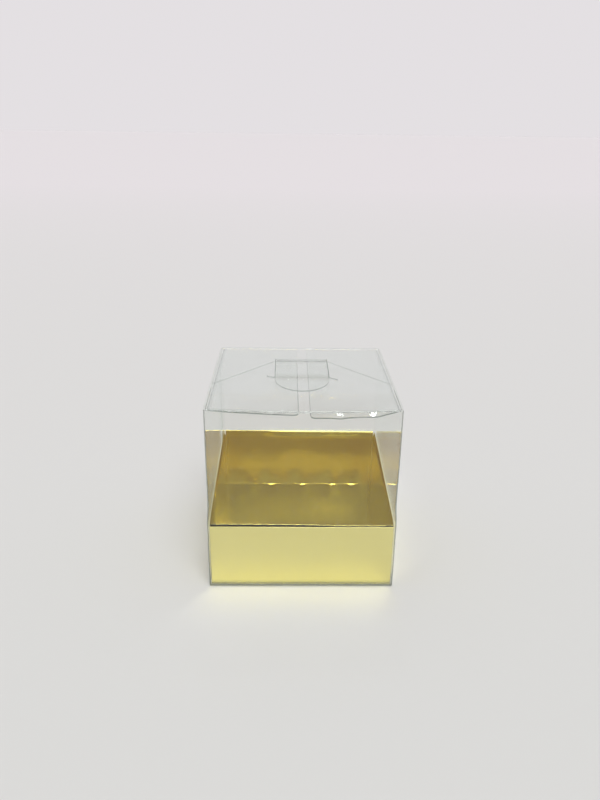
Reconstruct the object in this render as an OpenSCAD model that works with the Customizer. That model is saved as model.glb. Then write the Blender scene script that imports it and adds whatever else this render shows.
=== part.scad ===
// Small clear favor box with a gold card tray. The box is one sheet of clear film, creased and
// glued at one corner, with a tongue-locked lid. The loose tray stands inside, with the back of
// its floor held up by a springy flap. The origin is the centre of the base, +Z up, the front
// is -Y.

/* [Box] */
// Outer width of the box, left to right
box_w = 50; // [40:0.5:80]
// Outer depth of the box, front to back
box_d = 51.5; // [44:0.5:80]
// Height of the box to the top of the closed flaps
box_h = 52.2; // [45:0.1:90]
// Thickness of the clear film
film = 0.3; // [0.2:0.05:0.4]
// Width of the glue lip inside the back left corner
lip_w = 8; // [5:0.5:12]
// How far the glue lip stops below the top of the box
lip_drop = 4; // [3:0.5:10]

/* [Lid flaps] */
// How far the side edges of the lid flaps stand in from the sides of the box
flap_inset = 0.6; // [0.3:0.1:2]
// Depth of the front flap along its side edges
front_flap_side = 18; // [12:0.5:26]
// Depth of the front flap at its blunt point
front_flap_reach = 38; // [32:0.5:40]
// Width of the blunt point, and of the tongue that crosses it
tongue_w = 15.2; // [10:0.1:20]
// Length of the tongue from its crease to its round end
tongue_l = 27.5; // [22:0.5:30]
// Length of the round end of the tongue
tongue_round = 10.5; // [6:0.5:10.5]
// Distance from the blunt point to the slit that takes the tongue
slit_setback = 14.2; // [8:0.1:18]
// Length of the slit, side to side
slit_w = 20; // [18:0.5:30]
// Width of the cut ends of the slit
slit_cut = 0.4; // [0.3:0.1:1]

/* [Dust flaps] */
// How far the left dust flap reaches in from its crease
left_dust_reach = 23.6; // [18:0.1:24]
// How far the right dust flap reaches in from its crease
right_dust_reach = 23; // [18:0.1:24]
// How far the left dust flap droops, in degrees
left_droop = 5; // [3:0.5:10]
// How far the right dust flap droops, in degrees
right_droop = 7.5; // [3:0.5:10]
// How far the dust flaps stand in from the front and back of the box
dust_inset = 0.9; // [0.6:0.1:3]
// Radius of the free corners of the dust flaps
dust_corner = 2.5; // [1:0.5:6]

/* [Base] */
// Gap between the two base dust flaps at the middle of the box
base_dust_gap = 2; // [1:0.5:8]
// How far the springy base flap reaches in from the back wall
base_flap_reach = 15; // [8:0.5:20]

/* [Tray] */
// Thickness of the gold card
card = 0.45; // [0.3:0.05:0.8]
// Height of the tray's front wall
tray_h = 18.3; // [10:0.1:24]
// How much higher the tray's back wall is, with the side walls' rims rising to it
tray_back_rise = 1.1; // [0.1:0.1:2]
// How far the tray's floor slopes down to the front, in degrees
tray_tilt = 4; // [1:0.5:5]
// Gap between the tray and the film round it
tray_gap = 0.3; // [0.2:0.05:1]

/* [Hidden] */

film_color = [0.86, 0.9, 0.92, 0.35];
lid_color = [0.8, 0.87, 0.92, 0.4];
base_color = [0.76, 0.82, 0.86, 0.45];
gold_color = [0.83, 0.7, 0.3];
gold_floor_color = [0.66, 0.53, 0.24];

// Clearance between two layers of film, and between two flap edges that meet
layer_gap = 0.05;
edge_gap = 0.2;
// Overrun of every cutting solid
over = 1;

// Inner faces of the film walls
in_x = box_w / 2 - film;
in_y = box_d / 2 - film;
// The closed lid's underside, and the top of the walls just below it
lid_z = box_h - film;
wall_top = lid_z - layer_gap;
// The walls stand on the base panel
wall_h = wall_top - film;

// Heights of the middle of the tongue: above, level with and below the lid flaps
tongue_over_z = box_h + film / 2 + layer_gap;
tongue_root_z = lid_z + film / 2;
tongue_under_z = lid_z - film / 2 - layer_gap;
// Run over which the tongue climbs onto the front flap, and half the run of its dive
tongue_ramp = 1.4;
tongue_flat = 0.6;
tongue_dive = 0.62;
// The tongue's places along the box, measured from the front crease
tongue_root_y = front_flap_reach + tongue_ramp + tongue_flat;
slit_y = front_flap_reach - slit_setback;
tongue_end_y = tongue_root_y - tongue_l;
slit_gap = 0.25;

// The dust flaps start just inside the walls and just under the lid flaps
left_dust_z = wall_top - layer_gap - film / cos(left_droop);
right_dust_z = wall_top - layer_gap - film / cos(right_droop);
dust_depth = box_d - 2 * dust_inset;

// The tray's front lower edge lies on the base panel, in front of the dust flaps. Its floor
// slopes, and its walls stand upright along the film.
tray_seat_z = film + layer_gap;
tray_front_y = tray_gap - in_y;
tray_d = 2 * (in_y - tray_gap);
tray_slope = tan(tray_tilt);
tray_w = 2 * (in_x - film - tray_gap);

// The base dust flaps start where the sloping floor is high enough to clear them
base_dust_inset = tray_gap + film / tray_slope;

// The springy flap rises just enough to carry the tray's floor at its free edge
spring_tip_y = in_y - base_flap_reach;
tray_under_z = tray_seat_z + (spring_tip_y - tray_front_y) * tray_slope;
spring_low_z = film + layer_gap;
spring_rise = asin((tray_under_z - spring_low_z - film - 2 * layer_gap) / base_flap_reach);

// A flat sheet from its lowest corner
module sheet(size, at) {
    translate(at) cube(size);
}

// A sheet that ends in two round corners: its crease lies along Y at x = 0, and it reaches to +X
module round_ended_sheet(reach, depth, thickness, corner) {
    linear_extrude(thickness) {
        translate([0, -depth / 2]) square([reach - corner, depth]);
        translate([0, corner - depth / 2]) square([reach, depth - 2 * corner]);
        for (side = [-1, 1])
            translate([reach - corner, side * (depth / 2 - corner)]) circle(r = corner, $fn = 48);
    }
}

// The box: four walls standing on the base panel, and the lip glued inside the back left corner
module front_wall() {
    color(film_color) sheet([box_w, film, wall_h], [-box_w / 2, -box_d / 2, film]);
}

module back_wall() {
    color(film_color) sheet([box_w, film, wall_h], [-box_w / 2, in_y, film]);
}

module left_wall() {
    color(film_color) sheet([film, 2 * in_y, wall_h], [-box_w / 2, -in_y, film]);
}

module right_wall() {
    color(film_color) sheet([film, 2 * in_y, wall_h], [in_x, -in_y, film]);
}

module glue_lip() {
    lip_low = 2 * film + layer_gap;
    color(lid_color)
        sheet([film, lip_w, box_h - lip_drop - lip_low], [-in_x, in_y - lip_w, lip_low]);
}

// The base: an outer panel over the whole foot, two dust flaps on it, and the springy flap
module base_panel() {
    color(base_color) sheet([box_w, box_d, film], [-box_w / 2, -box_d / 2, 0]);
}

module base_dust_flap(side) {
    reach = in_x - base_dust_gap / 2;
    depth = 2 * (in_y - base_dust_inset);
    color(base_color)
        translate([side * in_x, 0, film])
            mirror([side > 0 ? 1 : 0, 0, 0])
                round_ended_sheet(reach, depth, film, dust_corner);
}

module base_dust_flap_left() {
    base_dust_flap(-1);
}

module base_dust_flap_right() {
    base_dust_flap(1);
}

module base_spring_flap() {
    width = tray_w - 2 * tray_gap;
    color(base_color)
        translate([0, in_y - layer_gap, spring_low_z])
            rotate([0, 0, -90])
                rotate([0, -spring_rise, 0])
                    round_ended_sheet(base_flap_reach, width, film, dust_corner);
}

// The lid's plan shapes, drawn from the middle of the front crease
module front_flap_plan() {
    half = box_w / 2 - flap_inset;
    polygon([
        [-half, 0], [half, 0],
        [half, front_flap_side], [tongue_w / 2, front_flap_reach],
        [-tongue_w / 2, front_flap_reach], [-half, front_flap_side]
    ]);
}

module slit_plan() {
    wide = tongue_w + 2 * slit_gap;
    translate([-wide / 2, slit_y - tongue_dive]) square([wide, 2 * tongue_dive]);
    translate([-slit_w / 2, slit_y - slit_cut / 2]) square([slit_w, slit_cut]);
}

module back_flap_plan() {
    half = box_w / 2 - flap_inset;
    neck = tongue_w / 2 + edge_gap;
    polygon([
        [half, box_d], [-half, box_d],
        [-half, front_flap_side + edge_gap], [-neck, front_flap_reach + edge_gap],
        [-neck, tongue_root_y], [neck, tongue_root_y],
        [neck, front_flap_reach + edge_gap], [half, front_flap_side + edge_gap]
    ]);
}

module tongue_plan() {
    straight = tongue_l - tongue_round;
    translate([-tongue_w / 2, tongue_end_y + tongue_round]) square([tongue_w, straight]);
    intersection() {
        translate([0, tongue_end_y + tongue_round])
            scale([tongue_w / (2 * tongue_round), 1]) circle(r = tongue_round, $fn = 96);
        translate([-tongue_w / 2, tongue_end_y]) square([tongue_w, tongue_round]);
    }
}

module front_flap() {
    color(lid_color)
        translate([0, -box_d / 2, lid_z])
            linear_extrude(film)
                difference() {
                    front_flap_plan();
                    slit_plan();
                }
}

module back_flap() {
    color(lid_color)
        translate([0, -box_d / 2, lid_z]) linear_extrude(film) back_flap_plan();
}

// The tongue's side view: from its crease it climbs over the blunt point of the front flap, lies
// on it, dives through the slit and lies under it
module tongue_side() {
    path = [
        [tongue_root_y, tongue_root_z],
        [tongue_root_y - tongue_ramp, tongue_over_z],
        [slit_y + tongue_dive, tongue_over_z],
        [slit_y - tongue_dive, tongue_under_z],
        [tongue_end_y, tongue_under_z]
    ];
    upper = [for (p = path) [p[0], p[1] + film / 2]];
    lower = [for (i = [len(path) - 1 : -1 : 0]) [path[i][0], path[i][1] - film / 2]];
    polygon(concat(upper, lower));
}

module lock_tongue() {
    color(lid_color)
        translate([0, -box_d / 2, 0])
            intersection() {
                translate([-tongue_w / 2, 0, 0])
                    rotate([90, 0, 90]) linear_extrude(tongue_w) tongue_side();
                translate([0, 0, lid_z - over])
                    linear_extrude(film + 2 * over) tongue_plan();
            }
}

// The dust flaps hang from the side walls and droop a little under the lid flaps
module dust_flap_left() {
    color(film_color)
        translate([-in_x, 0, left_dust_z])
            rotate([0, left_droop, 0])
                round_ended_sheet(left_dust_reach, dust_depth, film, dust_corner);
}

module dust_flap_right() {
    color(film_color)
        translate([in_x, 0, right_dust_z])
            mirror([1, 0, 0])
                rotate([0, right_droop, 0])
                    round_ended_sheet(right_dust_reach, dust_depth, film, dust_corner);
}

// The tray, drawn from its front lower edge. A side view is carried across it from low_x.
module in_tray() {
    translate([0, tray_front_y, tray_seat_z]) children();
}

module tray_side_view(low_x, width, outline) {
    in_tray() translate([low_x, 0, 0]) rotate([90, 0, 90]) linear_extrude(width) polygon(outline);
}

module tray_floor() {
    back_y = tray_d - card;
    rise = card / cos(tray_tilt);
    color(gold_floor_color)
        tray_side_view(card - tray_w / 2, tray_w - 2 * card, [
            [card, card * tray_slope], [back_y, back_y * tray_slope],
            [back_y, back_y * tray_slope + rise], [card, card * tray_slope + rise]
        ]);
}

module tray_front_wall() {
    color(gold_color) in_tray() sheet([tray_w, card, tray_h], [-tray_w / 2, 0, 0]);
}

module tray_back_wall() {
    back_y = tray_d - card;
    color(gold_color)
        in_tray()
            sheet([tray_w, card, tray_h + tray_back_rise], [-tray_w / 2, back_y, back_y * tray_slope]);
}

module tray_side_wall(low_x) {
    back_y = tray_d - card;
    back_z = back_y * tray_slope;
    color(gold_color)
        tray_side_view(low_x, card, [
            [card, card * tray_slope], [back_y, back_z],
            [back_y, back_z + tray_h + tray_back_rise], [card, tray_h]
        ]);
}

module tray_left_wall() {
    tray_side_wall(-tray_w / 2);
}

module tray_right_wall() {
    tray_side_wall(tray_w / 2 - card);
}

front_wall();
back_wall();
left_wall();
right_wall();
glue_lip();
base_panel();
base_dust_flap_left();
base_dust_flap_right();
base_spring_flap();
front_flap();
back_flap();
lock_tongue();
dust_flap_left();
dust_flap_right();
tray_floor();
tray_front_wall();
tray_back_wall();
tray_left_wall();
tray_right_wall();
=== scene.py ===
import math

import bpy
import numpy as np
from mathutils import Matrix


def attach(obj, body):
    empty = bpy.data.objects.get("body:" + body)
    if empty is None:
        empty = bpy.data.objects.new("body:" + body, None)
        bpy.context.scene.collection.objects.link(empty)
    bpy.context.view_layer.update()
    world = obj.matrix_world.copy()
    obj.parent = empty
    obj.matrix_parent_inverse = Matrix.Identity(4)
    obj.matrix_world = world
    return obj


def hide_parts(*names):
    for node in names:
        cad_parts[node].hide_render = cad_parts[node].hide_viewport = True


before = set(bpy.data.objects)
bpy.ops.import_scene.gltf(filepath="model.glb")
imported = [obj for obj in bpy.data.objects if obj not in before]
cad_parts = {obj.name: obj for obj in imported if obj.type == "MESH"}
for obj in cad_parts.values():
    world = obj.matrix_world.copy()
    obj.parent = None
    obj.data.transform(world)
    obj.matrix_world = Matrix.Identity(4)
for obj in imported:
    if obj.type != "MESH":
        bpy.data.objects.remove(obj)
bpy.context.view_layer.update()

scene = bpy.context.scene


# The four walls are one sheet of clear film, 0.3 mm thick, creased at the upright corners and
# glued at the back left one. They bow out a little between the creases, and stand farthest out
# low down, where the tray presses on them.
MM = 0.001
FILM = 0.3
FIT = 0.05
BOX_HALF_W = 25.0
BOX_HALF_D = 25.75
LID_TOP = 52.2
WALL_FOOT = FILM
WALL_TOP = LID_TOP - FILM - FIT
CORNER_INSET = 0.2
CORNER_ROUND = 0.35
CORNER_STEPS = 5
WALL_COLUMNS = 61
WALL_ROWS = 76
WAIST = 0.12
WAIST_UP = 9.0
WAIST_SPREAD = 8.0
SIDE_BOW = 0.85
FRONT_BOW = 0.45
CREST_SPREAD = 9.0
PRESSED_INSET = 0.03
PRESS_END = 6.5
PRESS_FADE = 5.5
FOOT_PULL = 0.07
FOOT_RISE = 8.0
CREASE_SPREAD = 0.5
TRAY_SEAT = 0.35
TRAY_SLOPE = math.tan(math.radians(4))
TRAY_HEIGHT = 18.05
TRAY_BACK_RISE = 1.65
TRAY_HALF_D = 25.05


def bell(x, middle, spread, power=2):
    """A bell curve of height 1: e to the minus power of the distance over the spread."""
    return np.exp(-(((x - middle) / spread) ** power))


def smooth_step(share):
    """A step from 0 to 1 as the share goes from 0 to 1: three squares less two cubes."""
    share = np.clip(share, 0, 1)
    return share**2 * (3 - 2 * share)


def rim_height(y):
    """Height of the tray's rim at depth y: its front rim, plus the floor's slope and the extra
    height of the back wall, which both grow with depth."""
    share = (y + TRAY_HALF_D) / (2 * TRAY_HALF_D)
    return TRAY_SEAT + TRAY_HEIGHT + (2 * TRAY_HALF_D * TRAY_SLOPE + TRAY_BACK_RISE) * share


def wall_inset(y, z):
    """How far the film's outer face stands in from the box's full size. It is even above the
    tray, with a shallow waist as a bell curve, and eases by a smooth step to almost nothing
    where the tray presses on the film, less so towards the back. The base pulls the film in
    again by a square law."""
    above = z - rim_height(y)
    pressed = smooth_step((PRESS_END - above) / PRESS_FADE) * np.clip(1.3 - y / BOX_HALF_D, 0, 1)
    free_inset = CORNER_INSET + WAIST * bell(above, WAIST_UP, WAIST_SPREAD)
    foot_inset = FOOT_PULL * np.clip(1 - z / FOOT_RISE, 0, 1) ** 2
    return free_inset * (1 - pressed) + PRESSED_INSET * pressed + foot_inset


def wall_outer_face(turn, crest, sag):
    """Outer face of one film wall as a grid: a share across from corner to corner, and a share
    up. Across it is straight between two arcs of 45 degrees. Its distance from the box's middle
    is the full half size less the inset, and a bow that fades towards the corners takes some of
    the inset back. crest adds bow at the top as a bell curve, and sag lowers the top edge as a
    parabola. turn carries the front wall round the box in quarter turns."""
    arc = np.linspace(0, 45, CORNER_STEPS + 1)[1:]
    share = np.concatenate([np.full(CORNER_STEPS, -1.0), np.linspace(-1, 1, WALL_COLUMNS),
                            np.full(CORNER_STEPS, 1.0)])[:, None]
    angle = np.radians(np.concatenate([-arc[::-1], np.zeros(WALL_COLUMNS), arc]))[:, None]
    up = np.linspace(0, 1, WALL_ROWS)[None, :]
    z = WALL_FOOT + up * (WALL_TOP - sag * (1 - share**2) - WALL_FOOT)
    if turn % 2:
        half_across, half_out = BOX_HALF_D, BOX_HALF_W
        y = share * BOX_HALF_D * (1 if turn == 1 else -1) + 0 * z
        bow = SIDE_BOW * (1 - share**8)
    else:
        half_across, half_out = BOX_HALF_W, BOX_HALF_D
        y = np.full_like(z, BOX_HALF_D * (1 if turn == 2 else -1))
        bow = FRONT_BOW * (1 - share**4)
    bow = bow + (1 - share**2) * crest * bell(z, WALL_TOP, CREST_SPREAD)
    inset = wall_inset(y, z)
    across = share * (half_across - inset - CORNER_ROUND) + CORNER_ROUND * np.sin(angle)
    out = half_out - inset * (1 - bow) - CORNER_ROUND + CORNER_ROUND * np.cos(angle)
    c, s = round(math.cos(turn * math.pi / 2)), round(math.sin(turn * math.pi / 2))
    return np.stack([across * c + out * s, across * s - out * c, z + 0 * out], 2)


def backed_off(face, depth):
    """The same grid moved back by depth along its normals, the cross products of its tangents."""
    normal = np.cross(np.gradient(face, axis=0), np.gradient(face, axis=1))
    return face - depth * normal / np.linalg.norm(normal, axis=2, keepdims=True)


def closed_sheet(name, face, back, cut="", kept=None, masks=None):
    """A closed sheet from two grids of points in millimetres. Quads join each grid, the back's
    in reverse order, and strips join the rims wherever a kept cell meets none. cut names the
    sides that are cut edges: there the strip and the outermost cells take the second material.
    kept marks the cells that aren't a hole, and masks are named values, one for each grid
    point."""
    rows, columns = face.shape[:2]
    index = np.arange(rows * columns).reshape(rows, columns)
    cells = np.ones((rows - 1, columns - 1), bool) if kept is None else kept
    corners = (index[:-1, :-1], index[1:, :-1], index[1:, 1:], index[:-1, 1:])
    front = np.stack([corner[cells] for corner in corners], 1)
    other = rows * columns
    rear = front[:, ::-1] + other
    padded = np.pad(cells, 1)
    low = padded[1:-1, 1:] & ~padded[1:-1, :-1]
    high = padded[1:-1, :-1] & ~padded[1:-1, 1:]
    left = padded[1:, 1:-1] & ~padded[:-1, 1:-1]
    right = padded[:-1, 1:-1] & ~padded[1:, 1:-1]
    outermost = np.zeros(cells.shape, bool)
    rim, rim_cut = [], []
    for side, band, p, q in (("low", np.s_[:, :1], index[1:, :][low], index[:-1, :][low]),
                             ("high", np.s_[:, -1:], index[:-1, :][high], index[1:, :][high]),
                             ("left", np.s_[:1], index[:, :-1][left], index[:, 1:][left]),
                             ("right", np.s_[-1:], index[:, 1:][right], index[:, :-1][right])):
        outermost[band] |= side in cut
        at_edge = np.isin(p, index[band]) & np.isin(q, index[band])
        rim.append(np.stack([p, q, q + other, p + other], 1))
        rim_cut.append(np.where(at_edge, side in cut, "hole" in cut))
    used, quads = np.unique(np.concatenate([front, rear, *rim]), return_inverse=True)
    quads = quads.reshape(-1, 4)
    points = np.concatenate([face.reshape(-1, 3), back.reshape(-1, 3)])[used] * MM
    mesh = bpy.data.meshes.new(name)
    mesh.from_pydata(points.tolist(), [], quads.tolist())
    mesh.polygons.foreach_set("use_smooth", np.arange(len(quads)) < 2 * len(front))
    second = np.concatenate([outermost[cells], outermost[cells], *rim_cut])
    mesh.polygons.foreach_set("material_index", second.astype(np.int32))
    for mask, values in (masks or {}).items():
        held = np.concatenate([values.ravel()] * 2)[used].astype(np.float32)
        mesh.attributes.new(mask, "FLOAT", "POINT").data.foreach_set("value", held)
    mesh.update()
    piece = bpy.data.objects.new(name, mesh)
    scene.collection.objects.link(piece)
    return piece


def dressed(piece, body, slot, replaced, *materials):
    """Gives a piece its materials, rides it on its body and lets it stand for its CAD node."""
    for material in materials:
        piece.data.materials.append(material)
    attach(piece, body)
    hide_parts(replaced)


def node_in(tree, kind, inputs=(), **settings):
    """Adds a shader node with its settings. Each input goes by its name or number, and takes
    either a plain value or a link from another node's output."""
    node = tree.nodes.new(kind)
    for setting, value in settings.items():
        setattr(node, setting, value)
    for socket, value in dict(inputs).items():
        if isinstance(value, bpy.types.NodeSocket):
            tree.links.new(value, node.inputs[socket])
        else:
            node.inputs[socket].default_value = value
    return node


def blend_in(tree, share, first, second):
    """A colour between two colours, by a share from 0 to 1."""
    blend = node_in(tree, "ShaderNodeMix", {"Factor": share, 6: first, 7: second},
                    data_type="RGBA")
    return blend.outputs[2]


def new_material(name):
    """An empty material and the end of its tree."""
    material = bpy.data.materials.new(name)
    material.use_nodes = True
    tree = material.node_tree
    tree.nodes.clear()
    return material, tree, tree.nodes.new("ShaderNodeOutputMaterial")


def handling_marks_group():
    """Faint marks that film and foil get from handling, out of Object coordinates: long soft
    waves from a noise as a height, and thin scuffs from a stretched fine noise as a mask.
    Wave Size is the length of a wave in metres."""
    group = bpy.data.node_groups.new("handling marks", "ShaderNodeTree")
    wave_size = group.interface.new_socket("Wave Size", in_out="INPUT",
                                           socket_type="NodeSocketFloat")
    wave_size.default_value = 0.012
    for name in ("Height", "Scuff Mask"):
        group.interface.new_socket(name, in_out="OUTPUT", socket_type="NodeSocketFloat")
    start = group.nodes.new("NodeGroupInput")
    end = group.nodes.new("NodeGroupOutput")
    where = group.nodes.new("ShaderNodeTexCoord")
    per_metre = node_in(group, "ShaderNodeMath", {0: 1.0, 1: start.outputs["Wave Size"]},
                        operation="DIVIDE")
    waves = node_in(group, "ShaderNodeTexNoise", {
        "Vector": where.outputs["Object"], "Scale": per_metre.outputs[0],
        "Detail": 1.5, "Roughness": 0.4})
    group.links.new(waves.outputs["Fac"], end.inputs["Height"])
    turned = node_in(group, "ShaderNodeMapping", {
        "Vector": where.outputs["Object"], "Rotation": (0.4, 0.7, 0.9),
        "Scale": (1600, 90, 260)})
    scuffs = node_in(group, "ShaderNodeTexNoise", {
        "Vector": turned.outputs["Vector"], "Scale": 1.0, "Detail": 2.0})
    sharp = node_in(group, "ShaderNodeMapRange", {
        "Value": scuffs.outputs["Fac"], "From Min": 0.66, "From Max": 0.8})
    group.links.new(sharp.outputs["Result"], end.inputs["Scuff Mask"])
    return group


handling_marks = handling_marks_group()


def film_material(name, tint, index, haze_and_shade):
    """Clear film: it lets light straight through with a faint tint, and mirrors by the Fresnel
    law with the same index from both sides of each face. Along the crease mask it is clouded,
    greyer and less of a mirror: partly the haze of creased film, and partly painted shade for
    the dark lines seen at bends, at lifted edges and at the walls' feet. Scuffs show a little."""
    material, tree, end = new_material(name)
    marks = node_in(tree, "ShaderNodeGroup", {"Wave Size": 0.011}, node_tree=handling_marks)
    bump = node_in(tree, "ShaderNodeBump", {
        "Height": marks.outputs["Height"], "Strength": 0.35, "Distance": 0.0006})
    geometry = tree.nodes.new("ShaderNodeNewGeometry")
    index_here = node_in(tree, "ShaderNodeMapRange", {
        "Value": geometry.outputs["Backfacing"], "To Min": index, "To Max": 1 / index})
    fresnel = node_in(tree, "ShaderNodeFresnel", {
        "IOR": index_here.outputs["Result"], "Normal": bump.outputs["Normal"]})
    crease = node_in(tree, "ShaderNodeAttribute", attribute_name="crease").outputs["Fac"]
    crease_cover = node_in(tree, "ShaderNodeMath", {0: crease, 1: haze_and_shade}, operation="MULTIPLY")
    marked = node_in(tree, "ShaderNodeMath", {
        0: marks.outputs["Scuff Mask"], 1: 0.05, 2: crease_cover.outputs[0]},
        operation="MULTIPLY_ADD")
    seen = node_in(tree, "ShaderNodeMath", {0: fresnel.outputs["Fac"], 1: marked.outputs[0]},
                   operation="ADD", use_clamp=True)
    # Painted shade in part: the crease mask turns the film grey and less of a mirror.
    mirror = node_in(tree, "ShaderNodeMapRange", {"Value": crease, "To Min": 1.0, "To Max": 0.3})
    shade = blend_in(tree, crease, (0.93, 0.96, 0.95, 1), (0.42, 0.46, 0.44, 1))
    gloss = node_in(tree, "ShaderNodeBsdfPrincipled", {
        "Base Color": shade, "Metallic": mirror.outputs["Result"], "Roughness": 0.04,
        "Normal": bump.outputs["Normal"]})
    clear = node_in(tree, "ShaderNodeBsdfTransparent", {"Color": tint})
    mixed = node_in(tree, "ShaderNodeMixShader", {
        0: seen.outputs[0], 1: clear.outputs[0], 2: gloss.outputs[0]})
    tree.links.new(mixed.outputs[0], end.inputs["Surface"])
    return material


def cut_edge_material(name, colour, cover):
    """The cut edge of clear film: light gathers and leaves there, so it looks greyer and
    greener than the sheet, and covers more of what is behind it. Where the edge is pressed
    on another sheet it hardly shows."""
    material, tree, end = new_material(name)
    where = tree.nodes.new("ShaderNodeTexCoord")
    cuts = node_in(tree, "ShaderNodeTexNoise", {
        "Vector": where.outputs["Object"], "Scale": 350.0, "Detail": 2.0})
    cover_here = node_in(tree, "ShaderNodeMapRange", {
        "Value": cuts.outputs["Fac"], "From Min": 0.3, "From Max": 0.7,
        "To Min": cover * 0.6, "To Max": cover})
    pressed = node_in(tree, "ShaderNodeAttribute", attribute_name="pressed")
    shown = node_in(tree, "ShaderNodeMapRange", {
        "Value": pressed.outputs["Fac"], "To Min": cover_here.outputs["Result"],
        "To Max": 0.04})
    body = node_in(tree, "ShaderNodeBsdfPrincipled", {"Base Color": colour, "Roughness": 0.25})
    clear = node_in(tree, "ShaderNodeBsdfTransparent", {"Color": (0.97, 0.98, 0.97, 1)})
    mixed = node_in(tree, "ShaderNodeMixShader", {
        0: shown.outputs["Result"], 1: clear.outputs[0], 2: body.outputs[0]})
    tree.links.new(mixed.outputs[0], end.inputs["Surface"])
    return material


wall_film = film_material("clear film", (0.98, 0.982, 0.978, 1), index=1.5, haze_and_shade=0.3)
cut_edge = cut_edge_material("cut film edge", (0.33, 0.39, 0.36, 1), cover=0.6)
bold_edge = cut_edge_material("free film edge", (0.22, 0.28, 0.25, 1), cover=0.85)

for turn, (node, crest, sag) in enumerate((("front_wall", 0.55, 0.45), ("right_wall", 0.1, 0.1),
                                           ("back_wall", 0.2, 0.15), ("left_wall", 0.1, 0.1))):
    outer = wall_outer_face(turn, crest, sag)
    corner_crease = np.zeros(outer.shape[:2])
    corner_crease[:CORNER_STEPS] = corner_crease[-CORNER_STEPS:] = 1
    at_back = np.clip((outer[:, :, 1] - 20) / 4, 0, 1)
    # Painted shade: the mask at each wall's foot is strengthened to 1.4 to give a dark line where
    # the box stands on the floor. The corner creases also carry some painted shade.
    foot_crease = bell(outer[:, :, 2], WALL_FOOT, CREASE_SPREAD)
    creases = np.maximum(corner_crease * (1 - 0.9 * at_back), 1.4 * foot_crease)
    wall = closed_sheet("clear_" + node, outer, backed_off(outer, FILM),
                        masks={"crease": creases})
    dressed(wall, "box", "clear_film", node, wall_film, cut_edge)


# The glue lip is a strip of the same sheet, folded inwards at the back left corner and glued
# to the inside of the left wall.
LIP_WIDTH = 8.0
LIP_TOP = LID_TOP - 4.0
LIP_FOOT = 0.65
LIP_TAPER = 0.8
LIP_FILM = 0.26
GLUE_GAP = 0.01
EDGE_BAND = 0.12


def rimmed(shares, band):
    """The same shares with one more at each end, a narrow band in from the first and last."""
    return np.concatenate([shares[:1], shares[:1] + band, shares[1:-1],
                           shares[-1:] - band, shares[-1:]])


lip_back = BOX_HALF_D - CORNER_INSET - FILM - 2 * FIT
lip_share, lip_up = np.meshgrid(rimmed(np.linspace(0, 1, 12), EDGE_BAND / LIP_WIDTH),
                                rimmed(np.linspace(0, 1, 40), EDGE_BAND / LIP_TOP), indexing="ij")
lip_y = lip_back - LIP_WIDTH * (1 - lip_share)
lip_z = LIP_FOOT + lip_up * (LIP_TOP - LIP_FOOT) - LIP_TAPER * (1 - lip_share) * (2 * lip_up - 1)
lip_x = -(BOX_HALF_W - CORNER_INSET - FILM - GLUE_GAP) + 0 * lip_y
lip_face = np.stack([lip_x, lip_y, lip_z], 2)
lip = closed_sheet("clear_glue_lip", backed_off(lip_face, -LIP_FILM), lip_face, "low high left",
                   masks={"pressed": 0.96 + 0 * lip_y})
dressed(lip, "box", "clear_film", "glue_lip", wall_film, cut_edge)


# The base is folded from four more panels of the same sheet: an outer panel over the whole foot,
# two dust flaps on it, and a short flap from the back wall that springs up and lifts the back
# of the tray.
BASE_GAP = 1.0
SHEET_GAP = 0.02
BASE_INSET = 4.6
BASE_CORNER = 2.5
ROUND_STEPS = 9
SPRING_REACH = 15.0
SPRING_HALF_W = 23.8
SPRING_FOOT = 0.35
SPRING_TIP = (TRAY_SEAT + (BOX_HALF_D - FILM - SPRING_REACH + TRAY_HALF_D) * TRAY_SLOPE
              - FILM - 2 * FIT)
SPRING_RISE = math.asin((SPRING_TIP - SPRING_FOOT) / SPRING_REACH)


def quarter_round(radius, past):
    """How far a quarter circle has left its tangent, past being the distance from the point
    where it starts: the radius less the root of its square less the square of past."""
    return radius - np.sqrt(radius**2 - np.clip(past, 0, radius) ** 2)


def flat_panel(x_low, x_high, y_low, y_high, z, low_corner, high_corner):
    """A level panel as a grid of two shares. Its free ends keep round corners: near each end
    the width shrinks along a quarter circle, with a radius for the low and the high x end."""
    turn = np.sin(np.linspace(0, math.pi / 2, ROUND_STEPS))
    flat_low, flat_high = x_low + low_corner, x_high - high_corner
    x = np.concatenate([x_low + low_corner * (1 - turn[::-1]),
                        np.linspace(flat_low, flat_high, 30)[1:-1],
                        x_high - high_corner * (1 - turn)])[:, None]
    pull = quarter_round(low_corner, flat_low - x) + quarter_round(high_corner, x - flat_high)
    share = rimmed(np.linspace(0, 1, 30), EDGE_BAND / (y_high - y_low))[None, :]
    y = y_low + pull + share * (y_high - y_low - 2 * pull)
    return np.stack([x + 0 * y, y, np.full_like(y, z)], 2)


foot_w, foot_d = BOX_HALF_W - CORNER_INSET, BOX_HALF_D - CORNER_INSET
foot = flat_panel(-foot_w, foot_w, -foot_d, foot_d, FILM - SHEET_GAP, 0.5, 0.5)
foot_piece = closed_sheet("clear_base_panel", foot, foot - np.array([0, 0, FILM - 2 * SHEET_GAP]))
dressed(foot_piece, "box", "clear_film", "base_panel", wall_film, cut_edge)

inner_w, inner_d = foot_w - FILM - FIT, foot_d - FILM - FIT
base_flap_d = BOX_HALF_D - FILM - BASE_INSET
for node, ends, corners, cut in (
        ("base_dust_flap_left", (-inner_w, -BASE_GAP), (0.0, BASE_CORNER), "low high right"),
        ("base_dust_flap_right", (BASE_GAP, inner_w), (BASE_CORNER, 0.0), "low high left")):
    flap = flat_panel(*ends, -base_flap_d, base_flap_d, 2 * FILM, *corners)
    flap_piece = closed_sheet("clear_" + node, flap, flap - np.array([0, 0, FILM]), cut)
    dressed(flap_piece, "box", "clear_film", node, wall_film, cut_edge)

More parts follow.
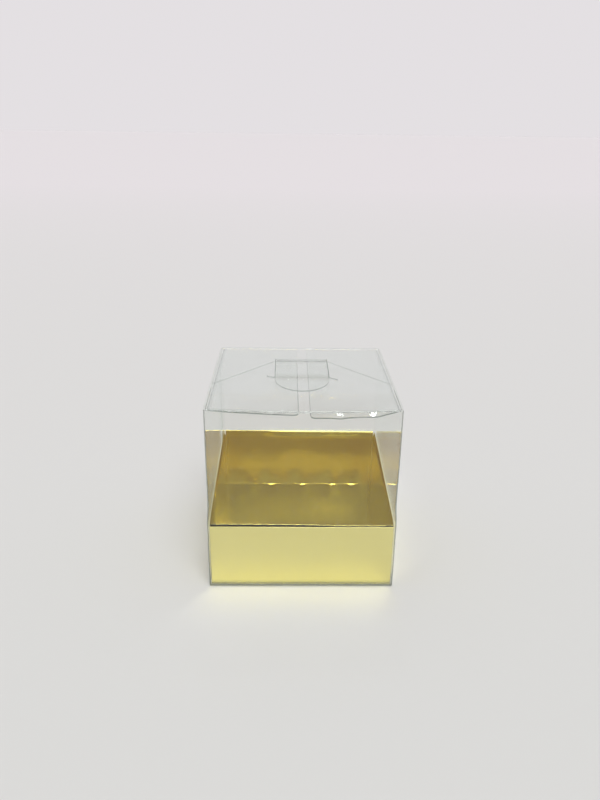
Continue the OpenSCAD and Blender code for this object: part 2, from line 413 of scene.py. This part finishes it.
spring = flat_panel(-SPRING_HALF_W, SPRING_HALF_W, 0, SPRING_REACH, 0, 0.2, 0.2)
from_back = SPRING_REACH - spring[:, :, 1]
spring = np.stack([spring[:, :, 0], inner_d - from_back * math.cos(SPRING_RISE),
                   SPRING_FOOT + FILM + from_back * math.sin(SPRING_RISE)], 2)
spring_piece = closed_sheet("clear_base_spring_flap", spring, backed_off(spring, FILM),
                            "low left right")
dressed(spring_piece, "box", "clear_film", "base_spring_flap", wall_film, cut_edge)


# The front lid flap is more of the same film, creased on the front wall. It has slanted side
# edges that end in a blunt point, and a slit across it that takes the tongue.
FLAP_SIDE = 18.0
FLAP_REACH = 38.0
FLAP_HALF = BOX_HALF_W - CORNER_INSET - 0.5
TONGUE_HALF = 7.6
MOUTH_HALF = TONGUE_HALF + 0.25
SLIT_HALF = 9.8
SLIT_Y = 23.8
SLIT_OPEN = 0.45
SLIT_CUT = 0.07
LID_COLUMNS = 61
LID_DIP = 0.12
CREASE_SAG = 0.45
SAG_FADE = 9.0
CREASE_ROUND = 0.4
CREASE_Y = -(BOX_HALF_D - CORNER_INSET)


def flap_edge(x):
    """Depth of the line where the two lid flaps meet: level across the blunt point, then
    straight down to the flap's side."""
    slope = (FLAP_REACH - FLAP_SIDE) / (FLAP_HALF - TONGUE_HALF)
    return FLAP_REACH - slope * np.maximum(np.abs(x) - TONGUE_HALF, 0)


def lid_height(x, y):
    """Top face of the closed lid: it sags along the front crease as a parabola that fades with
    depth, and dips slightly between the sides."""
    share = 1 - (x / BOX_HALF_W) ** 2
    return LID_TOP - CREASE_SAG * share * np.exp(-y / SAG_FADE) - LID_DIP * share


front_x = np.unique(np.concatenate([
    np.linspace(-FLAP_HALF, FLAP_HALF, LID_COLUMNS),
    [EDGE_BAND - FLAP_HALF, -SLIT_HALF, -MOUTH_HALF, -TONGUE_HALF],
    [TONGUE_HALF, MOUTH_HALF, SLIT_HALF, FLAP_HALF - EDGE_BAND]]))[:, None]
from_middle = np.abs(front_x)
tip_y = flap_edge(front_x)

# The slit is a row of left-out cells. The left end of it bends back and the right end forward,
# and beyond its ends the row runs on to the flap's sides.
slit_y = np.where(from_middle < SLIT_HALF + 2, np.minimum(SLIT_Y, 0.9 * tip_y),
                  np.minimum(SLIT_Y, 0.8 * tip_y))
slit_bend = np.clip((from_middle - MOUTH_HALF) / 2, 0, 1.2) * (from_middle < SLIT_HALF + 3)
slit_y = slit_y + np.where(front_x < 0, 1.2, -1.6) * slit_bend
slit_gap = np.where(from_middle <= MOUTH_HALF, SLIT_OPEN, SLIT_CUT)
near = rimmed(np.unique(np.concatenate([np.linspace(0, 1, 26), np.linspace(0.006, 0.03, 8)])),
              0.003)[None, :]
far = rimmed(np.linspace(0, 1, 16), EDGE_BAND / (FLAP_REACH - SLIT_Y))[None, :]
crease_bulge = -(1 - (front_x / FLAP_HALF) ** 2) * CORNER_INSET
front_y = np.concatenate([crease_bulge + near * (slit_y - slit_gap - crease_bulge),
                          slit_y + slit_gap + far * (tip_y - slit_y - slit_gap)], 1)
front_z = (lid_height(front_x, front_y)
           - quarter_round(CREASE_ROUND, CREASE_ROUND - front_y + crease_bulge))
front_face = np.stack([front_x + 0 * front_y, CREASE_Y + front_y, front_z], 2)
outside_slit = np.ones((front_face.shape[0] - 1, front_face.shape[1] - 1), bool)
slit_columns = (np.abs(front_x[:-1, 0] + front_x[1:, 0]) / 2) < SLIT_HALF
outside_slit[slit_columns, near.shape[1] - 1] = False

# Its edges hardly show under the tongue, along the slanted sides and at the slit's ends.
under_tongue = (from_middle < TONGUE_HALF + 0.1) * (front_y < FLAP_REACH - 2)
slanted = (from_middle > TONGUE_HALF) * (front_y > SLIT_Y - 9) * (front_y > 0.8 * tip_y)
lifted = bell(front_x, 17, 4.5, 4) + 0.8 * bell(front_x, -15.5, 3, 4)
slit_ends = ((from_middle > TONGUE_HALF + 0.1) * (from_middle < SLIT_HALF + 1)
             * (np.abs(front_y - slit_y) < 0.6))
faint_edges = np.maximum(under_tongue, slanted * (1 - 0.2 * lifted))
faint_edges = np.maximum(faint_edges, 0.45 * slit_ends)

front_flap = closed_sheet("clear_front_flap", front_face, backed_off(front_face, FILM),
                          "high left right hole", outside_slit,
                          {"crease": bell(front_y, crease_bulge, CREASE_SPREAD),
                           "pressed": faint_edges})
lid_film = film_material("clear lid film", (0.985, 0.99, 0.985, 1), index=1.5, haze_and_shade=0.3)
dressed(front_flap, "front_lid_flap", "lid_film", "front_flap", lid_film, cut_edge)


# The back lid flap is the same film, creased on the back wall. Its free edge meets the front
# flap's slanted edges, with a notch in the middle where the tongue starts.
EDGE_GAP = 0.2
TONGUE_ROOT = 40.0
BACK_FLAP_LENGTH = 20.0
NOTCH_HALF = TONGUE_HALF + EDGE_GAP
back_x = np.unique(np.concatenate([
    np.linspace(-FLAP_HALF, FLAP_HALF, LID_COLUMNS),
    [EDGE_BAND - FLAP_HALF, -NOTCH_HALF - FIT, -NOTCH_HALF],
    [NOTCH_HALF, NOTCH_HALF + FIT, FLAP_HALF - EDGE_BAND]]))[:, None]
near_y = np.where(np.abs(back_x) <= NOTCH_HALF, TONGUE_ROOT, flap_edge(back_x) + EDGE_GAP)
back_end = 2 * (BOX_HALF_D - CORNER_INSET)
back_share = rimmed(np.linspace(0, 1, 30), EDGE_BAND / BACK_FLAP_LENGTH)[None, :]
back_y = near_y + back_share * (back_end - near_y)
back_face = np.stack([back_x + 0 * back_y, CREASE_Y + back_y, lid_height(back_x, back_y)], 2)
back_masks = {"crease": 0.3 * bell(back_y, back_end, CREASE_SPREAD),
              "pressed": np.where(np.abs(back_x) < NOTCH_HALF + 1, 1.0, 0.9) + 0 * back_y}
back_flap = closed_sheet("clear_back_flap", back_face, backed_off(back_face, FILM),
                         "low left right", masks=back_masks)
dressed(back_flap, "back_lid_flap", "lid_film", "back_flap", lid_film, cut_edge)


# The tongue is the end of the back flap. It climbs over the blunt point of the front flap, lies
# on it, dives through the slit and ends round under the flap.
TONGUE_LENGTH = 27.0
TONGUE_END = 14.3
TONGUE_LAP = 0.33
ROUND_END = 9.6
SIDE_BAND = 0.15


def soft_step(x):
    """A step from 0 to 1 around x = 0, as the logistic curve."""
    return 1 / (1 + np.exp(-np.clip(x, -50, 50)))


# Its grid starts at the right side, so that its faces point up.
widest = math.asin(1 - SIDE_BAND / TONGUE_HALF)
across = np.concatenate([[-1], np.sin(np.linspace(-widest, widest, 49)), [1]])[::-1, None]
end_y = TONGUE_END + ROUND_END * (1 - np.sqrt(np.maximum(1 - across**2, 0)))
tongue_share = rimmed(np.linspace(0, 1, 90), EDGE_BAND / TONGUE_LENGTH)[None, :]
tongue_y = TONGUE_ROOT + tongue_share * (end_y - TONGUE_ROOT)
tongue_x = TONGUE_HALF * across + 0 * tongue_y
out_of_slit = soft_step((tongue_y - SLIT_Y) / 0.9)
behind_point = soft_step((tongue_y - FLAP_REACH - 0.8) / 0.16)
tongue_z = lid_height(tongue_x, tongue_y) + TONGUE_LAP * (2 * out_of_slit - 1 - behind_point)
tongue_face = np.stack([tongue_x, CREASE_Y + tongue_y, tongue_z], 2)
# Painted shade: the strong crease mask across the tongue, where it climbs over the front flap's
# point, gives the dark line of the lifted film.
tongue = closed_sheet("clear_lock_tongue", tongue_face,
                      tongue_face - np.array([0, 0, FILM - SHEET_GAP]), "high left right",
                      masks={"crease": 1.8 * bell(tongue_y, FLAP_REACH + 0.1, 0.28)})
dressed(tongue, "back_lid_flap", "lid_film", "lock_tongue", lid_film, bold_edge)


# Two dust flaps of the same film are creased on the side walls and lie under the lid flaps.
# They nearly meet in the middle and droop, the right one mostly close to its crease.
DUST_HALF_D = 24.85
DUST_CORNER = 1.4
DUST_TWIST = 0.95
DUST_ROOT = BOX_HALF_W - CORNER_INSET - FILM - 0.5
DUST_TOP = WALL_TOP - FIT - 0.3 * CREASE_SAG
BENT_FROM = 22.8
THIN_CREASE = 0.3
THIN_REACH = 0.8


def dust_flap(side, reach, drop, settle, curl):
    """Both faces of a dust flap as grids of reach and depth, with their masks. The top one falls
    from its crease by drop at the free edge, as one minus an exponential of the reach over
    settle, and less towards the back, where the lid holds it up. Its front edge is bent down by
    curl, which starts a little way out from the crease and is stronger in two places. Its free
    corners are round, and the sheet is thinner at the crease. The right flap's grid starts at
    its free edge, so that its faces point up too."""
    out = np.sin(np.linspace(0, math.asin(1 - EDGE_BAND / DUST_CORNER), ROUND_STEPS))
    s = np.concatenate([np.linspace(0, reach - DUST_CORNER, 40)[:-1],
                        reach - DUST_CORNER * (1 - out), [reach]])[::-side, None]
    shares = np.unique(np.concatenate([np.linspace(-1, -0.84, 20), np.linspace(-0.82, 1, 36)]))
    shares = rimmed(shares, EDGE_BAND / DUST_HALF_D)[None, :]
    depth = (DUST_HALF_D - quarter_round(DUST_CORNER, s - reach + DUST_CORNER)) * shares
    fall = drop * (1 - np.exp(-s / settle)) / (1 - math.exp(-reach / settle))
    fall = fall * (1 - DUST_TWIST * (shares + 1) / 2)
    swells = 0.6 + 0.4 * (bell(s, 15, 1.5) + bell(s, 6, 2.2))
    bent = np.clip(-depth - BENT_FROM, 0, 3)
    fall = fall + curl * swells * np.clip((s - 1) / 4, 0, 1) * bent**2 / (bent + 0.25)
    face = np.stack([side * (DUST_ROOT - s) + 0 * depth, depth, DUST_TOP - fall + 0 * depth], 2)
    thickness = FILM * (THIN_CREASE + (1 - THIN_CREASE) * np.clip(s / THIN_REACH, 0, 1))
    masks = {"crease": bell(s, 0, CREASE_SPREAD) + 0 * depth,
             "pressed": np.clip((depth - 12) / 3, 0, 1) + 0 * s}
    return face, backed_off(face, thickness[:, :, None]), masks


for side, node, body, cut, reach, drop, settle, curl in (
        (-1, "dust_flap_left", "left_dust_flap", "low high right", 22.8, 1.25, 40.0, 0.05),
        (1, "dust_flap_right", "right_dust_flap", "low high left", 22.3, 1.7, 7.0, 0.34)):
    dust_face, dust_back, dust_masks = dust_flap(side, reach, drop, settle, curl)
    dust = closed_sheet("clear_" + node, dust_face, dust_back, cut, masks=dust_masks)
    dressed(dust, body, "lid_film", node, lid_film, bold_edge)


# The tray is one sheet of card with mirror gold foil on both faces. Its front and back walls
# fold up from the floor, sharply in front and with soft places at the back, and stand upright
# along the film. At each rim the foil is folded over, and the front rim's groove is painted
# dark as shade.
CARD = 0.45
TRAY_HALF_W = 24.1
FRONT_HALF_W = 24.34
SHARP_FOLD = 0.25
LEAST_FOLD = 0.03
BACK_FOLD = 0.48
BACK_GAP = 0.1
WALL_LEAN = 0.12
WAVE_FADE = 6.0
END_BAND = 0.003
TRAY_BOW = 0.45
TRAY_BOW_AT = 50.0


def on_slope(points):
    """Carries points from a level tray to the box, whose springy base flap holds up the back of
    the floor: each is raised by the seat, by its depth behind the front lower edge times the
    floor's slope, and a little more by a square law."""
    x, y, z = points[..., 0], points[..., 1], points[..., 2]
    depth = y + TRAY_HALF_D
    raised = TRAY_SEAT + depth * TRAY_SLOPE + TRAY_BOW * (depth / TRAY_BOW_AT) ** 2
    return np.stack([x, y, raised + z], -1)


def fold_arc(fold, angle):
    """Points on a fold between the floor and a wall: the outer arc has the radius fold, and the
    inner one is less by the card. Each is a distance inwards and a height."""
    inner = np.maximum(fold - CARD, LEAST_FOLD)
    return (fold * (1 - np.cos(angle)), fold * (1 - np.sin(angle)),
            CARD + inner * (1 - np.cos(angle)), CARD + inner * (1 - np.sin(angle)))


def wall_section(height, fold, rim_width, lip, groove):
    """A tray wall's cross section as an outer and an inner path, each an inward distance and a
    height. Both start half way round the fold and go straight up, and the inner one swells to
    rim_width by a smooth step. At the top each turns over in half a circle of radius lip and
    goes down by groove, and the gap between the two is where the foil is folded over."""
    out_in, out_up, in_in, in_up = fold_arc(fold, np.radians(np.linspace(45, 0, 7))[None, :])
    share = np.sort(np.append(np.linspace(0, 1, 31)[1:], END_BAND))[None, :]
    swell = smooth_step((share - 0.9) / 0.09)
    turn = np.radians(np.linspace(180, 0, 9))[None, 1:]
    down = np.array([[0.12, 1.0]])
    low = height - lip
    wide = 0 * fold
    over_up = [low + lip * np.sin(turn) + wide, low - groove * down + wide]
    outer = (np.concatenate([out_in, 0 * share + wide, lip * (1 + np.cos(turn)) + wide,
                             2 * lip + 0 * down + wide], 1),
             np.concatenate([out_up, fold + share * (low - fold), *over_up], 1))
    start = CARD + np.maximum(fold - CARD, LEAST_FOLD)
    inner = (np.concatenate([in_in, CARD + swell * (rim_width - CARD),
                             rim_width - lip * (1 + np.cos(turn)),
                             rim_width - 2 * lip + 0 * down], 1),
             np.concatenate([in_up, start + share * (low - start), *over_up], 1))
    return outer, inner


def foil_material():
    """Gold foil on card: a metal with soft waves, finer dimples from the card's fibres, and a
    little more blur where it was handled. The faces that look into the tray, whose normals point
    towards the box's middle, are painted a darker gold, as shade inside the tray."""
    material, tree, end = new_material("gold foil")
    marks = node_in(tree, "ShaderNodeGroup", {"Wave Size": 0.014}, node_tree=handling_marks)
    where = tree.nodes.new("ShaderNodeTexCoord")
    fibres = node_in(tree, "ShaderNodeTexNoise", {
        "Vector": where.outputs["Object"], "Scale": 1400.0, "Detail": 2.0})
    fine = node_in(tree, "ShaderNodeBump", {
        "Height": fibres.outputs["Fac"], "Strength": 0.02, "Distance": 0.0001})
    bump = node_in(tree, "ShaderNodeBump", {
        "Height": marks.outputs["Height"], "Normal": fine.outputs["Normal"],
        "Strength": 0.25, "Distance": 0.0008})
    blur = node_in(tree, "ShaderNodeMapRange", {
        "Value": marks.outputs["Scuff Mask"], "To Min": 0.12, "To Max": 0.3})
    from_centre = node_in(tree, "ShaderNodeVectorMath", {
        0: where.outputs["Object"], 1: (0, 0, 0.026)}, operation="SUBTRACT")
    outward = node_in(tree, "ShaderNodeVectorMath", {
        0: from_centre.outputs[0], 1: where.outputs["Normal"]}, operation="DOT_PRODUCT")
    painted_inner_shade = node_in(tree, "ShaderNodeMapRange", {
        "Value": outward.outputs["Value"], "From Min": 0.002, "From Max": -0.002})
    # Painted shade: the inward faces take the darker gold.
    gold = blend_in(tree, painted_inner_shade.outputs["Result"], (0.97, 0.88, 0.36, 1),
                    (0.86, 0.765, 0.28, 1))
    foil = node_in(tree, "ShaderNodeBsdfPrincipled", {
        "Base Color": gold, "Roughness": blur.outputs["Result"], "Metallic": 1.0,
        "Normal": bump.outputs["Normal"]})
    tree.links.new(foil.outputs[0], end.inputs["Surface"])
    return material


def card_edge_and_shade_material(name, dark, pale):
    """The card where no foil covers it, with fibres between a dark and a pale colour. At a cut
    edge it is the pale core; deep in the front rim's folded-over groove its near-black browns
    are painted shade."""
    material, tree, end = new_material(name)
    where = tree.nodes.new("ShaderNodeTexCoord")
    fibres = node_in(tree, "ShaderNodeTexNoise", {
        "Vector": where.outputs["Object"], "Scale": 900.0, "Detail": 3.0})
    paper = node_in(tree, "ShaderNodeBsdfPrincipled", {
        "Base Color": blend_in(tree, fibres.outputs["Fac"], dark, pale), "Roughness": 0.6,
        "Specular IOR Level": 0.1})
    tree.links.new(paper.outputs[0], end.inputs["Surface"])
    return material


gold_foil = foil_material()
card_edge = card_edge_and_shade_material("cut card edge", (0.62, 0.55, 0.36, 1), (0.85, 0.8, 0.62, 1))
# Painted shade for the groove of the front rim, where the foil is folded over.
painted_fold_shade = card_edge_and_shade_material("painted fold shade", (0.02, 0.012, 0.002, 1), (0.05, 0.03, 0.005, 1))


def back_fold(x):
    """Radius of the back fold: sharp, with four soft places along it as bell curves."""
    return BACK_FOLD + 0.6 * sum(bell(x, middle, 1.3) for middle in (-9.7, 0.8, 10.7, 17.8))


def back_wave(x):
    """How far the back fold wanders from a straight line, as the sum of two sine waves."""
    return 0.12 * np.sin(2 * math.pi * (x - 1.1) / 9.6) + 0.06 * np.sin(2 * math.pi * x / 5.3)


for node, at_back in (("tray_front_wall", False), ("tray_back_wall", True)):
    share = rimmed(np.linspace(-1, 1, 101), END_BAND)[:, None]
    x = (TRAY_HALF_W if at_back else FRONT_HALF_W) * share
    if at_back:
        lit = soft_step((10 - x) / 2)
        paths = wall_section(TRAY_HEIGHT + TRAY_BACK_RISE, back_fold(-x),
                             rim_width=0.4 + 0.45 * lit, lip=0.02 + 0.17 * lit, groove=0.1)
    else:
        closed_up = (0.55 * soft_step((x - 6) / 3) - 0.35 * bell(x, 23.5, 1.2)
                     + 0.1 * np.sin(0.9 * x) ** 2)
        paths = wall_section(TRAY_HEIGHT, SHARP_FOLD + 0 * x,
                             rim_width=1.4 - closed_up, lip=0.07, groove=0.7)
    faces = []
    for inwards, upwards in paths:
        y = inwards - TRAY_HALF_D - WALL_LEAN * (1 - share**2) * (upwards / TRAY_HEIGHT) ** 2
        if at_back:
            y = y + BACK_GAP + back_wave(-x) * np.clip(1 - upwards / WAVE_FADE, 0, 1)
        face = np.stack([x + 0 * y, y, upwards + 0 * y], 2)
        faces.append(on_slope(face * (-1, -1, 1) if at_back else face))
    # The front wall's top cut edge, inside its rim groove, takes the painted shade.
    wall = closed_sheet("foil_" + node, *faces, "left right" if at_back else "high")
    dressed(wall, "tray", "gold_card", node, gold_foil, card_edge if at_back else painted_fold_shade)


# The tray's side walls are the same card, folded up sharply. They lie against the film and
# ripple near the front corners.
SIDE_END = 0.35
RIPPLE = 0.16
RIPPLE_LENGTH = 3.4


def side_reach(y):
    """How far the tray's side walls reach out: to just short of the side film's inner face at
    its narrowest height, so that the tray lifts out."""
    bow = SIDE_BOW * (1 - (y / BOX_HALF_D) ** 8)
    return BOX_HALF_W - (CORNER_INSET + WAIST) * (1 - bow) - FILM - 0.06


for node, side in (("tray_left_wall", -1), ("tray_right_wall", 1)):
    share = rimmed(np.linspace(-1, 1, 121), END_BAND)[:, None] * side
    paths = wall_section(TRAY_HEIGHT, SHARP_FOLD + 0 * share,
                         rim_width=0.06 + 0 * share, lip=0.013, groove=0.02)
    faces = []
    for inwards, upwards in paths:
        along = share * (TRAY_HALF_D - CARD - SIDE_END) + 0 * upwards
        up = upwards * (1 + TRAY_BACK_RISE / TRAY_HEIGHT * (share + 1) / 2)
        ripple = RIPPLE * bell(along, -21, 7) * (1 + np.sin(2 * math.pi * along / RIPPLE_LENGTH))
        ripple = ripple * np.clip(up / 5, 0, 1) * np.clip((TRAY_HEIGHT - up) / 4, 0, 1)
        x = side * (side_reach(along) - inwards - ripple)
        faces.append(on_slope(np.stack([x, along, up], 2)))
    wall = closed_sheet("foil_" + node, *faces, "left right")
    dressed(wall, "tray", "gold_card", node, gold_foil, card_edge)


# The tray's floor is the middle of the same card. Its four edges turn up half way round the
# folds, where the walls go on.
to_fold = np.radians(np.linspace(45, 90, 7))
across_share = np.linspace(-1, 1, 90)[1:-1]
along_floor = np.append(np.linspace(0, 1, 50)[1:-1], 0.9985)[None, :]
side_out, side_out_up, side_in, side_in_up = fold_arc(SHARP_FOLD, to_fold)
under_x, top_x = (
    np.concatenate([inwards - TRAY_HALF_W, (TRAY_HALF_W - fold_end) * across_share,
                    (TRAY_HALF_W - inwards)[::-1]])[:, None]
    for inwards, fold_end in ((side_out, SHARP_FOLD), (side_in, CARD + LEAST_FOLD)))
under_z, top_z = (np.concatenate([up, level + 0 * across_share, up[::-1]])[:, None]
                  for up, level in ((side_out_up, 0.0), (side_in_up, CARD)))
back_out, back_out_up, back_in, back_in_up = fold_arc(back_fold(under_x), to_fold[None, :])
floors = []
for level, x, z, front_in, front_up, back_ends, back_up in (
        (CARD, top_x, top_z, side_in, side_in_up, back_in, back_in_up),
        (0.0, under_x, under_z, side_out, side_out_up, back_out, back_out_up)):
    at_front = front_in[None, :] - TRAY_HALF_D
    at_back = TRAY_HALF_D - BACK_GAP - back_ends
    between = at_front[:, -1:] + along_floor * (at_back[:, -1:] - at_front[:, -1:])
    y = np.concatenate([at_front + 0 * x, between - back_wave(x) * along_floor**4,
                        (at_back - back_wave(x))[:, ::-1]], 1)
    z = np.concatenate([z + (front_up - level)[None, :], z + 0 * between,
                        z + (back_up - level)[:, ::-1]], 1)
    floors.append(on_slope(np.stack([x * side_reach(y) / TRAY_HALF_W, y, z], 2)))
floor_piece = closed_sheet("foil_tray_floor", *floors)
dressed(floor_piece, "tray", "gold_card", "tray_floor", gold_foil, card_edge)


# The box stands on one broad sheet of white paper, which lies flat. Its colour is painted a
# little paler and pinker with distance, as painted light for the brighter far part of the room.
PAPER_HALF = 7.0
paper_mesh = bpy.data.meshes.new("white_floor")
paper_corners = [(x * PAPER_HALF, y * PAPER_HALF, 0)
                 for x, y in ((-1, -1), (1, -1), (1, 1), (-1, 1))]
paper_mesh.from_pydata(paper_corners, [], [(0, 1, 2, 3)])
paper_sheet = bpy.data.objects.new("white_floor", paper_mesh)
scene.collection.objects.link(paper_sheet)
white_paper, tree, end = new_material("white paper")
where = tree.nodes.new("ShaderNodeTexCoord")
apart = node_in(tree, "ShaderNodeSeparateXYZ", {"Vector": where.outputs["Object"]})
painted_far_light = node_in(tree, "ShaderNodeMapRange", {
    "Value": apart.outputs["Y"], "From Min": -0.3, "From Max": 1.2})
tone = blend_in(tree, painted_far_light.outputs["Result"], (0.733, 0.755, 0.741, 1),
                (0.83, 0.808, 0.838, 1))
paper = node_in(tree, "ShaderNodeBsdfPrincipled", {
    "Base Color": tone, "Roughness": 0.8, "Specular IOR Level": 0.2})
tree.links.new(paper.outputs[0], end.inputs["Surface"])
paper_mesh.materials.append(white_paper)


# The light is a room that is pale low down at the back and darker low down in front, dim and a
# little warm above that, and bright overhead. A broad sun stands over the front, and a small
# weak one over the back.
world = bpy.data.worlds.new("pale room")
scene.world = world
world.use_nodes = True
tree = world.node_tree
tree.nodes.clear()
where = tree.nodes.new("ShaderNodeTexCoord")
apart = node_in(tree, "ShaderNodeSeparateXYZ", {"Vector": where.outputs["Generated"]})
dim_level = node_in(tree, "ShaderNodeMapRange", {
    "Value": apart.outputs["Y"], "From Min": -0.4, "From Max": 0.6,
    "To Min": 0.27, "To Max": 0.34})
level_above = node_in(tree, "ShaderNodeMapRange", {
    "Value": apart.outputs["Z"], "From Min": 0.7, "From Max": 0.94,
    "To Min": dim_level.outputs["Result"], "To Max": 0.85}, interpolation_type="SMOOTHSTEP")
overhead = node_in(tree, "ShaderNodeMapRange", {
    "Value": apart.outputs["Z"], "From Min": 0.7, "From Max": 0.94})
warmth = blend_in(tree, overhead.outputs["Result"], (1.05, 0.93, 0.88, 1), (1.0, 1.0, 1.0, 1))
above = node_in(tree, "ShaderNodeMix", {0: 1.0, 6: level_above.outputs["Result"], 7: warmth},
                data_type="RGBA", blend_type="MULTIPLY")
toward_back = node_in(tree, "ShaderNodeMapRange", {
    "Value": apart.outputs["Y"], "From Min": -0.4, "From Max": 0.3})
low_down = blend_in(tree, toward_back.outputs["Result"], (0.38, 0.36, 0.34, 1),
                    (0.775, 0.745, 0.765, 1))
higher = node_in(tree, "ShaderNodeMapRange", {
    "Value": apart.outputs["Z"], "From Min": 0.36, "From Max": 0.62},
    interpolation_type="SMOOTHSTEP")
room = blend_in(tree, higher.outputs["Result"], low_down, above.outputs[2])
glow = node_in(tree, "ShaderNodeBackground", {"Color": room, "Strength": 1.0})
end = tree.nodes.new("ShaderNodeOutputWorld")
tree.links.new(glow.outputs[0], end.inputs["Surface"])

for name, toward, spread, power in (("sun over the front", (0.12, -0.45, 0.86), 30, 1.3),
                                    ("sun over the back", (0.02, 0.5, 0.8), 5, 0.12)):
    sun_data = bpy.data.lights.new(name, "SUN")
    sun_data.angle = math.radians(spread)
    sun_data.energy = power
    sun = bpy.data.objects.new(name, sun_data)
    scene.collection.objects.link(sun)
    bearing = math.atan2(toward[1], toward[0])
    from_upright = math.atan2(math.hypot(toward[0], toward[1]), toward[2])
    sun.matrix_world = (Matrix.Translation(toward) @ Matrix.Rotation(bearing, 4, "Z")
                        @ Matrix.Rotation(from_upright, 4, "Y"))


# The camera stands in front of the box and looks down on it, as the photograph was taken. Its
# place, turns and focal length come from a fit on the box's corners and the tray's edges.
FOCAL_PX = 707.78
PHOTO_HIGH_PX = 800
SENSOR_HIGH = 24.0
CAMERA_AT = (-0.00422, -0.18659, 0.11832)
PITCH, YAW, ROLL = (math.radians(a) for a in (21.560, -1.158, -0.765))
camera_data = bpy.data.cameras.new("camera")
camera_data.sensor_fit = "VERTICAL"
camera_data.sensor_height = SENSOR_HIGH
camera_data.lens = FOCAL_PX / PHOTO_HIGH_PX * SENSOR_HIGH
camera_data.clip_start = 0.01
camera = bpy.data.objects.new("camera", camera_data)
scene.collection.objects.link(camera)
camera.matrix_world = (Matrix.Translation(CAMERA_AT) @ Matrix.Rotation(YAW, 4, "Z")
                       @ Matrix.Rotation(math.pi / 2 - PITCH, 4, "X")
                       @ Matrix.Rotation(-ROLL, 4, "Z"))
scene.camera = camera
scene.view_settings.view_transform = "Standard"
scene.cycles.transparent_max_bounces = 48
scene.cycles.max_bounces = 16
scene.cycles.glossy_bounces = 12
scene.cycles.blur_glossy = 0.1
